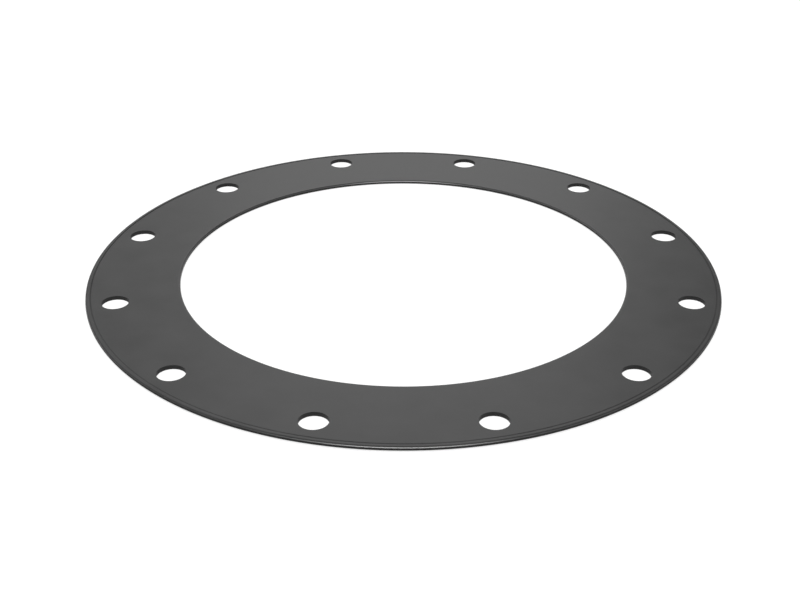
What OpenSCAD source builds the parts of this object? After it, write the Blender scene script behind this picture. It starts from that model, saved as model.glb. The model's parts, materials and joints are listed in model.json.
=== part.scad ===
// Flat ring gasket for the bolted flange of a bellows, moulded in one piece from rubber.
// Millimetres, +Z up. The origin is at the centre of the underside, on the axis of the flow opening.

/* [Ring] */
// Diameter of the flow opening, at the crest of the rounded inner edge
opening_d = 324; // [250:0.5:420]
// Width of the ring, from the crest of its inner edge to the crest of its outer edge
ring_w = 66.5; // [50:0.5:90]
// Thickness of the ring, which its rounded edges take up in full
thickness = 3; // [2:0.1:6]

/* [Bolt holes] */
// Number of bolt holes, evenly spaced, with the X axis midway between two of them
hole_count = 12; // [4:1:20]
// Diameter of each bolt hole
hole_d = 19; // [12:0.5:24]
// Distance from the outer edge to the centres of the bolt holes
hole_inset = 20.3; // [18:0.1:28]

/* [Rim groove] */
// Width of the flat band between the rounded outer edge and the groove
rim_band_w = 1.6; // [1:0.05:3]
// Width of the groove that runs round the top face
groove_w = 1; // [0.5:0.05:2]
// Depth of the groove at its upright outer side
groove_depth = 0.4; // [0.2:0.05:1]

/* [Hidden] */

// Radii of the ring's crests and of the full rounds at its two edges
inner_r = opening_d / 2;
outer_r = inner_r + ring_w;
edge_r = thickness / 2;

// Radii of the bolt circle and of the groove's two sides
hole_circle_r = outer_r - hole_inset;
groove_out_r = outer_r - edge_r - rim_band_w;
groove_in_r = groove_out_r - groove_w;

// Angle between neighbouring bolt holes
hole_pitch = 360 / hole_count;

// How far a cut runs past the faces it goes through
cut_past = 1;

// Facets of the ring's turn, of a bolt hole and of a small round in the section
ring_fn = 240;
hole_fn = 64;
section_fn = 48;

rubber_colour = "#565656";

// Section of the groove: its floor falls from the inner side to the foot of the upright outer side.
module groove_section() {
    polygon([
        [groove_in_r, thickness],
        [groove_out_r, thickness - groove_depth],
        [groove_out_r, thickness + cut_past],
        [groove_in_r, thickness + cut_past],
    ]);
}

// Section of the ring to the right of its axis: a flat bar with full-round ends and the groove cut in.
module ring_section() {
    difference() {
        union() {
            translate([inner_r + edge_r, 0])
                square([ring_w - thickness, thickness]);
            for (r = [inner_r + edge_r, outer_r - edge_r])
                translate([r, edge_r])
                    circle(r = edge_r, $fn = section_fn);
        }
        groove_section();
    }
}

module bolt_holes() {
    for (i = [0 : hole_count - 1])
        rotate((i + 0.5) * hole_pitch)
            translate([hole_circle_r, 0, -cut_past])
                cylinder(d = hole_d, h = thickness + 2 * cut_past, $fn = hole_fn);
}

module gasket_ring() {
    color(rubber_colour)
        difference() {
            rotate_extrude($fn = ring_fn)
                ring_section();
            bolt_holes();
        }
}

gasket_ring();
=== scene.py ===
"""Looks of the ring gasket: a finely meshed ring of black rubber on a pale floor in soft studio light.

Lengths are in metres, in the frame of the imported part.
"""
import json
import math
from types import SimpleNamespace

import bmesh
import bpy
import numpy as np
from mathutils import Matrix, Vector

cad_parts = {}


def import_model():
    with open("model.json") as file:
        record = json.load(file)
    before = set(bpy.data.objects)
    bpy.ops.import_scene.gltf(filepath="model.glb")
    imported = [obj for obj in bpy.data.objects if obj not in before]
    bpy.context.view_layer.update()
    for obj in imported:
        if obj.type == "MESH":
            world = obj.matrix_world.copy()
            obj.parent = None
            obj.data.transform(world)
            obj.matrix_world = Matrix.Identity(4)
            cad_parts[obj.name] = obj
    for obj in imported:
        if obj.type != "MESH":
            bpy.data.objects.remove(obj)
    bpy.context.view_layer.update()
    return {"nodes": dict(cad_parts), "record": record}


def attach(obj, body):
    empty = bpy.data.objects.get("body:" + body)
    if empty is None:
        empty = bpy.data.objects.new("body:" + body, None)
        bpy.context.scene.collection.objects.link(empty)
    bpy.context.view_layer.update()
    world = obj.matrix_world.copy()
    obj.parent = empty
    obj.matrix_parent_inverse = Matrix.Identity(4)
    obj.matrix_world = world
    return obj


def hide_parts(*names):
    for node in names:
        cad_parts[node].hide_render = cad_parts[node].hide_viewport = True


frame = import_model()

NODE = "gasket_ring"
MM = 0.001

# Steps of the ring's mesh: round each bolt hole's cell, between cells, across the ring and along its section
CELL_STEPS = 24
GAP_STEPS = 22
COLLAR_STEPS = 8
INNER_STEPS = 10
BAND_STEPS = 3
WALL_STEPS = 3
RIM_STEPS = 3

# Rounding of the bolt holes' rims and of the groove, least angle of a sharp edge, and distance for welding
RIM_R = 0.05 * MM
GROOVE_R = 0.03 * MM
SHARP_ANGLE = math.radians(50)
WELD = 0.001 * MM

# Material indices on the ring; the third is the lower half of the edges, with painted light in its grey
SKIN, CREST, PAINTED_LIGHT_FOOT, CUT = 0, 1, 2, 3

# Stretches of the two rounded edges, from the top face down: start and end in degrees, steps and material; the
# last stretch carries painted light
OUTER_EDGE = ((0, 42, 5, SKIN), (42, 63, 3, CREST), (63, 180, 13, PAINTED_LIGHT_FOOT))
INNER_EDGE = ((0, 42, 5, SKIN), (42, 73, 4, CREST), (73, 180, 12, PAINTED_LIGHT_FOOT))

# Greys of the moulded skin, of the lower half of the rounded edges and of the punched walls of the holes
SKIN_GREY = (0.039, 0.048)
# The lower half of the edges is a lighter grey with no gloss: painted light in place of the light it would
# reflect
PAINTED_LIGHT_FOOT_GREY = (0.062, 0.076)
CUT_GREY = (0.038, 0.047)

# Sizes of the rubber's clouds and grain, heights of the grain, and the usual range of a noise texture
CLOUD_SIZE = 30 * MM
SKIN_GRAIN = 0.45 * MM
SKIN_BUMP = 0.01 * MM
CUT_GRAIN = 0.5 * MM
CUT_BUMP = 0.03 * MM
NOISE_RANGE = (0.3, 0.7)

# Floor: half its width in outer radii, its gap under the ring, and its glow, shading and bounced light
FLOOR_REACH = 200
FLOOR_GAP = 0.02 * MM
FLOOR_GLOW = 0.75
FLOOR_SHADE = 0.3
FLOOR_BOUNCE = 0.5

# Light: strength and spread of the overhead sun, distance of the panels in outer radii, and the surround's
# strengths at the horizon and above, with the heights between which it fades
SUN_STRENGTH = 0.93 * math.pi
SUN_SPREAD = 40
PANEL_DISTANCE = 20
SURROUND_STRENGTH = (0.16, 0.07)
SURROUND_FADE = (0.02, 0.12)

# Camera, from the outline and the holes in the photograph: place in outer radii, tilt below the horizon, lens
CAMERA_PLACE = (-0.0107, -3.6118, 1.8502)
CAMERA_TILT = 28.444
CAMERA_LENS = 56.67
SENSOR_W = 36.0


def measured_ring():
    """Radii and heights of the ring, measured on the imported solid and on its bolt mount."""
    points = np.array([v.co[:] for v in frame["nodes"][NODE].data.vertices])
    radius = np.hypot(points[:, 0], points[:, 1])
    bottom = float(points[:, 2].min())
    top = float(points[:, 2].max())
    edge_r = (top - bottom) / 2
    bolts = next(m for m in frame["record"]["mounts"] if m["name"] == "bolt_circle")["dims"]
    hole_r = bolts["hole_r_mm"] * MM
    hole_circle_r = bolts["pcd_mm"] * MM / 2
    beyond_holes = radius > hole_circle_r + hole_r + MM
    on_top = points[:, 2] > top - WELD
    groove_in, groove_out, flat_out = np.unique(np.round(radius[beyond_holes & on_top], 5)).tolist()
    in_groove = (radius > groove_in - WELD) & (radius < groove_out + WELD) & (points[:, 2] > bottom + WELD)
    return SimpleNamespace(
        bottom=bottom,
        top=top,
        middle=(top + bottom) / 2,
        edge_r=edge_r,
        outer_r=flat_out + edge_r,
        flat_in=float(radius.min()) + edge_r,
        groove_in=groove_in,
        groove_out=groove_out,
        groove_floor=float(points[in_groove, 2].min()),
        flat_out=flat_out,
        hole_r=hole_r,
        hole_circle_r=hole_circle_r,
        hole_count=bolts["count"],
    )


def arc(centre, radius, start, end, steps):
    """Points (r, z) of an arc in the ring's section, between two angles in degrees."""
    turns = np.radians(np.linspace(start, end, steps + 1))
    return [(centre[0] + radius * math.cos(a), centre[1] + radius * math.sin(a)) for a in turns]


def straight(start, end, steps):
    """Points (r, z) of a straight stretch of the section."""
    return [tuple(p) for p in np.linspace(start, end, steps + 1)]


def rounded(corners, radius, steps):
    """The path through corners (r, z) of the section, with an arc at each corner between its ends."""
    path = [corners[0]]
    for before, corner, after in zip(corners, corners[1:], corners[2:]):
        corner = Vector(corner)
        back = (Vector(before) - corner).normalized()
        onward = (Vector(after) - corner).normalized()
        half = back.angle(onward) / 2
        centre = corner + (back + onward).normalized() * radius / math.sin(half)
        reach = radius / math.tan(half)
        start = corner + back * reach - centre
        end = corner + onward * reach - centre
        turn = math.atan2(start.x * end.y - start.y * end.x, start.dot(end))
        first = math.degrees(math.atan2(start.y, start.x))
        path += arc(centre, radius, first, first + math.degrees(turn), steps)
    return path + [corners[-1]]


def polar(r, angle, z):
    return (r * math.cos(angle), r * math.sin(angle), z)


class Patches:
    """Grids of quads, collected before they are welded into one mesh."""

    def __init__(self):
        self.points = []
        self.quads = []
        self.materials = []

    def add(self, rows, material=SKIN):
        first = len(self.points)
        width = len(rows[0])
        for row in rows:
            self.points.extend(row)
        for i in range(len(rows) - 1):
            for j in range(width - 1):
                a = first + i * width + j
                self.quads.append((a, a + 1, a + width + 1, a + width))
                self.materials.append(material)


def ring_patches(ring):
    """The ring's faces: a square cell round each hole, plain grids between, and edges turned about the axis."""
    patches = Patches()
    pitch = math.tau / ring.hole_count
    face_out = ring.groove_in - RIM_R
    reach = face_out - ring.hole_circle_r
    cell_in = ring.hole_circle_r - reach
    half_turn = reach / ring.hole_circle_r
    hole_angles = [(i + 0.5) * pitch for i in range(ring.hole_count)]
    cells = [np.linspace(a - half_turn, a + half_turn, CELL_STEPS + 1) for a in hole_angles]
    gaps = [np.linspace(a + half_turn, a + pitch - half_turn, GAP_STEPS + 1) for a in hole_angles]
    columns = [a for cell, gap in zip(cells, gaps) for a in (*cell[:-1], *gap[:-1])]
    columns.append(columns[0] + math.tau)

    def turned(profile, material=SKIN):
        patches.add([[polar(r, a, z) for r, z in profile] for a in columns], material)

    turned(rim_profile(ring, face_out))
    for start, end, steps, material in OUTER_EDGE:
        turned(arc((ring.flat_out, ring.middle), ring.edge_r, 90 - start, 90 - end, steps), material)
    for start, end, steps, material in INNER_EDGE:
        turned(arc((ring.flat_in, ring.middle), ring.edge_r, 90 + start, 90 + end, steps), material)
    turned(straight((ring.flat_out, ring.bottom), (face_out, ring.bottom), BAND_STEPS))

    radii_in = np.linspace(ring.flat_in, cell_in, INNER_STEPS + 1)
    radii_out = np.linspace(cell_in, face_out, CELL_STEPS + 1)
    for z in (ring.bottom, ring.top):
        turned([(r, z) for r in radii_in])
        for gap in gaps:
            patches.add([[polar(r, a, z) for r in radii_out] for a in gap])
        for angle, cell in zip(hole_angles, cells):
            hole_collar(patches, ring, angle, cell, radii_out, z)
    for angle in hole_angles:
        hole_wall(patches, ring, angle)
    return patches


def rim_profile(ring, face_out):
    """The top of the section from the face across the groove to the rounded outer edge."""
    corners = [
        (face_out, ring.top),
        (ring.groove_in, ring.top),
        (ring.groove_out, ring.groove_floor),
        (ring.groove_out, ring.top),
        (ring.flat_out, ring.top),
    ]
    return rounded(corners, GROOVE_R, RIM_STEPS)


def hole_point(ring, angle, turn, r, z):
    """A point at distance r from a hole's axis, at an angle turn from the outward radius."""
    out = Vector((math.cos(angle), math.sin(angle), 0))
    side = Vector((-math.sin(angle), math.cos(angle), 0))
    flat = out * (ring.hole_circle_r + r * math.cos(turn)) + side * (r * math.sin(turn))
    return Vector((flat.x, flat.y, z))


def hole_turns():
    """Angles round a hole, one for each point on its cell's outline, from the first outer corner."""
    return np.linspace(-math.pi / 4, 7 * math.pi / 4, 4 * CELL_STEPS + 1)


def hole_collar(patches, ring, angle, cell, radii, z):
    """The flat face of one cell, from the hole's rim to the cell's square outline."""
    outline = [(radii[-1], a) for a in cell[:-1]]
    outline += [(r, cell[-1]) for r in radii[:0:-1]]
    outline += [(radii[0], a) for a in cell[:0:-1]]
    outline += [(r, cell[0]) for r in radii]
    rows = []
    for turn, (r, a) in zip(hole_turns(), outline):
        rim = hole_point(ring, angle, turn, ring.hole_r + RIM_R, z)
        corner = Vector(polar(r, a, z))
        rows.append([rim.lerp(corner, s)[:] for s in np.linspace(0, 1, COLLAR_STEPS + 1)])
    patches.add(rows)


def hole_wall(patches, ring, angle):
    """The wall of one hole, with its two slightly rounded rims."""
    rim_r = ring.hole_r + RIM_R
    profile = arc((rim_r, ring.top - RIM_R), RIM_R, 90, 180, RIM_STEPS)
    profile += straight((ring.hole_r, ring.top - RIM_R), (ring.hole_r, ring.bottom + RIM_R), WALL_STEPS)[1:]
    profile += arc((rim_r, ring.bottom + RIM_R), RIM_R, 180, 270, RIM_STEPS)[1:]
    rows = [[hole_point(ring, angle, turn, r, z)[:] for r, z in profile] for turn in hole_turns()]
    patches.add(rows, CUT)


def ring_piece(ring, materials):
    """The ring as one closed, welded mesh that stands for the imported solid."""
    patches = ring_patches(ring)
    mesh = bpy.data.meshes.new("gasket_rubber")
    mesh.from_pydata(patches.points, [], patches.quads)
    mesh.polygons.foreach_set("material_index", patches.materials)
    for material in materials:
        mesh.materials.append(material)
    welded = bmesh.new()
    welded.from_mesh(mesh)
    bmesh.ops.remove_doubles(welded, verts=welded.verts, dist=WELD)
    bmesh.ops.recalc_face_normals(welded, faces=welded.faces)
    welded.to_mesh(mesh)
    welded.free()
    mesh.shade_smooth()
    mesh.set_sharp_from_angle(angle=SHARP_ANGLE)
    piece = bpy.data.objects.new("gasket_rubber", mesh)
    bpy.context.scene.collection.objects.link(piece)
    weighted = piece.modifiers.new("flat faces stay flat", "WEIGHTED_NORMAL")
    weighted.keep_sharp = True
    return piece


def shader(name):
    """A new material with its node tree and its main shader node."""
    material = bpy.data.materials.new(name)
    material.use_nodes = True
    tree = material.node_tree
    return material, tree, tree.nodes["Principled BSDF"]


def noise(tree, size, detail):
    """A noise texture whose features are about size metres across."""
    place = tree.nodes.new("ShaderNodeTexCoord")
    texture = tree.nodes.new("ShaderNodeTexNoise")
    texture.inputs["Scale"].default_value = 1 / size
    texture.inputs["Detail"].default_value = detail
    tree.links.new(place.outputs["Object"], texture.inputs["Vector"])
    return texture.outputs["Fac"]


def spread(tree, value, low, high):
    """The noise value, mapped from its usual range to the range from low to high."""
    mapped = tree.nodes.new("ShaderNodeMapRange")
    mapped.inputs["From Min"].default_value, mapped.inputs["From Max"].default_value = NOISE_RANGE
    mapped.inputs["To Min"].default_value = low
    mapped.inputs["To Max"].default_value = high
    tree.links.new(value, mapped.inputs["Value"])
    return mapped.outputs["Result"]


def grey_between(tree, value, low, high):
    """A neutral colour between two greys, by a noise value."""
    grey = tree.nodes.new("ShaderNodeCombineColor")
    level = spread(tree, value, low, high)
    for channel in ("Red", "Green", "Blue"):
        tree.links.new(level, grey.inputs[channel])
    return grey.outputs["Color"]


def bumped(tree, height, distance, strength):
    """A bump of the surface's normal, from a height between 0 and 1."""
    bump = tree.nodes.new("ShaderNodeBump")
    bump.inputs["Distance"].default_value = distance
    bump.inputs["Strength"].default_value = strength
    tree.links.new(height, bump.inputs["Height"])
    return bump.outputs["Normal"]


def moulded_rubber(name, greys, roughness, gloss, ior=1.5):
    """Moulded black rubber with a very fine grain and faint clouds, from the matte lower half of the edges,
    whose lighter grey is painted light, to a polished crest.
    """
    material, tree, surface = shader(name)
    clouds = noise(tree, CLOUD_SIZE, detail=3)
    grain = noise(tree, SKIN_GRAIN, detail=2)
    tree.links.new(grey_between(tree, clouds, *greys), surface.inputs["Base Color"])
    tree.links.new(spread(tree, clouds, *roughness), surface.inputs["Roughness"])
    tree.links.new(bumped(tree, grain, SKIN_BUMP, strength=0.25), surface.inputs["Normal"])
    surface.inputs["Specular IOR Level"].default_value = gloss
    surface.inputs["IOR"].default_value = ior
    return material


def punched_rubber():
    """The walls of the bolt holes: duller than the skin, with the coarser grain of a cut."""
    material, tree, surface = shader("punched_rubber")
    grain = noise(tree, CUT_GRAIN, detail=3)
    tree.links.new(grey_between(tree, grain, *CUT_GREY), surface.inputs["Base Color"])
    tree.links.new(spread(tree, grain, 0.55, 0.65), surface.inputs["Roughness"])
    tree.links.new(bumped(tree, grain, CUT_BUMP, strength=0.3), surface.inputs["Normal"])
    surface.inputs["Specular IOR Level"].default_value = 0.2
    return material


def white_floor():
    """A floor that looks white, with a faint shadow, and throws back half of the light that falls on it."""
    material = bpy.data.materials.new("white_floor")
    material.use_nodes = True
    tree = material.node_tree
    tree.nodes.clear()
    path = tree.nodes.new("ShaderNodeLightPath")
    seen = path.outputs["Is Camera Ray"]
    for kind in ("Is Glossy Ray", "Is Transmission Ray"):
        either = tree.nodes.new("ShaderNodeMath")
        either.operation = "MAXIMUM"
        tree.links.new(seen, either.inputs[0])
        tree.links.new(path.outputs[kind], either.inputs[1])
        seen = either.outputs["Value"]
    glow = tree.nodes.new("ShaderNodeEmission")
    glow.inputs["Strength"].default_value = FLOOR_GLOW
    shaded = tree.nodes.new("ShaderNodeBsdfDiffuse")
    shaded.inputs["Color"].default_value = (FLOOR_SHADE, FLOOR_SHADE, FLOOR_SHADE, 1)
    bright = tree.nodes.new("ShaderNodeAddShader")
    tree.links.new(glow.outputs["Emission"], bright.inputs[0])
    tree.links.new(shaded.outputs["BSDF"], bright.inputs[1])
    bounce = tree.nodes.new("ShaderNodeBsdfDiffuse")
    bounce.inputs["Color"].default_value = (FLOOR_BOUNCE, FLOOR_BOUNCE, FLOOR_BOUNCE, 1)
    choice = tree.nodes.new("ShaderNodeMixShader")
    tree.links.new(seen, choice.inputs["Fac"])
    tree.links.new(bounce.outputs["BSDF"], choice.inputs[1])
    tree.links.new(bright.outputs["Shader"], choice.inputs[2])
    end = tree.nodes.new("ShaderNodeOutputMaterial")
    tree.links.new(choice.outputs["Shader"], end.inputs["Surface"])
    return material


def floor(ring):
    """A wide plane just under the ring."""
    half = FLOOR_REACH * ring.outer_r
    z = ring.bottom - FLOOR_GAP
    mesh = bpy.data.meshes.new("floor")
    corners = [(-half, -half, z), (half, -half, z), (half, half, z), (-half, half, z)]
    mesh.from_pydata(corners, [], [(0, 1, 2, 3)])
    mesh.materials.append(white_floor())
    plane = bpy.data.objects.new("floor", mesh)
    bpy.context.scene.collection.objects.link(plane)


def add_light(name, kind):
    light = bpy.data.lights.new(name, kind)
    lamp = bpy.data.objects.new(name, light)
    bpy.context.scene.collection.objects.link(lamp)
    return light, lamp


def panel(name, ring, heading, elevation, width, height, brightness):
    """A soft panel that faces the ring: heading clockwise from +Y, width and height as angles, in degrees."""
    distance = PANEL_DISTANCE * ring.outer_r
    turn, rise = math.radians(heading), math.radians(elevation)
    direction = Vector((math.sin(turn) * math.cos(rise), math.cos(turn) * math.cos(rise), math.sin(rise)))
    light, lamp = add_light(name, "AREA")
    light.shape = "RECTANGLE"
    light.size = 2 * distance * math.tan(math.radians(width / 2))
    light.size_y = 2 * distance * math.tan(math.radians(height / 2))
    light.energy = brightness * math.pi * light.size * light.size_y
    lamp.location = direction * distance
    lamp.rotation_euler = direction.to_track_quat("Z", "Y").to_euler()
    return lamp


def lights(ring):
    """Even light from above, panels round the back for the sheen, and two in front that draw the edges."""
    light, lamp = add_light("overhead", "SUN")
    light.energy = SUN_STRENGTH
    light.angle = math.radians(SUN_SPREAD)
    lamp.visible_glossy = False
    panel("behind", ring, heading=0, elevation=35, width=20.5, height=28, brightness=1.62)
    panel("behind_wide", ring, heading=-5, elevation=28, width=41, height=36, brightness=0.57)
    panel("upper_left", ring, heading=-49, elevation=46, width=46, height=44, brightness=1)
    panel("right_back", ring, heading=30, elevation=16, width=40, height=18, brightness=0.22)
    panel("right", ring, heading=95, elevation=33, width=50, height=25, brightness=0.27)
    over_camera = panel("over_camera", ring, heading=180, elevation=38.5, width=41, height=34, brightness=5.7)
    left_front = panel("left_front", ring, heading=226, elevation=42, width=36, height=34, brightness=0.15)
    for edge_light in (over_camera, left_front):
        edge_light.visible_diffuse = False


def world():
    """A dim surround, a little brighter towards the horizon."""
    surround = bpy.data.worlds.new("surround")
    bpy.context.scene.world = surround
    surround.use_nodes = True
    tree = surround.node_tree
    place = tree.nodes.new("ShaderNodeTexCoord")
    split = tree.nodes.new("ShaderNodeSeparateXYZ")
    tree.links.new(place.outputs["Generated"], split.inputs["Vector"])
    fade = tree.nodes.new("ShaderNodeMapRange")
    fade.interpolation_type = "SMOOTHSTEP"
    fade.inputs["From Min"].default_value, fade.inputs["From Max"].default_value = SURROUND_FADE
    fade.inputs["To Min"].default_value, fade.inputs["To Max"].default_value = SURROUND_STRENGTH
    tree.links.new(split.outputs["Z"], fade.inputs["Value"])
    tree.links.new(fade.outputs["Result"], tree.nodes["Background"].inputs["Strength"])
    tree.nodes["Background"].inputs["Color"].default_value = (1, 1, 1, 1)


def camera(ring):
    """The photograph's view: level, looking along +Y and down at the ring."""
    data = bpy.data.cameras.new("camera")
    data.sensor_width = SENSOR_W
    data.lens = CAMERA_LENS
    eye = bpy.data.objects.new("camera", data)
    eye.location = Vector(CAMERA_PLACE) * ring.outer_r
    eye.rotation_euler = (math.radians(90 - CAMERA_TILT), 0, 0)
    bpy.context.scene.collection.objects.link(eye)
    bpy.context.scene.camera = eye


ring = measured_ring()
camera(ring)
skin = moulded_rubber("moulded_rubber", SKIN_GREY, roughness=(0.31, 0.35), gloss=0.15)
crest = moulded_rubber("moulded_crest", SKIN_GREY, roughness=(0.32, 0.36), gloss=1.0, ior=1.6)
# Lower half of the edges: no gloss, and a lighter grey that is painted light in place of the light it would
# reflect
painted_light_foot = moulded_rubber("moulded_foot_painted_light", PAINTED_LIGHT_FOOT_GREY, roughness=(0.6, 0.7), gloss=0)
gasket = ring_piece(ring, [skin, crest, painted_light_foot, punched_rubber()])
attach(gasket, "root")
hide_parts(NODE)
floor(ring)
lights(ring)
world()
bpy.context.scene.view_settings.view_transform = "Standard"
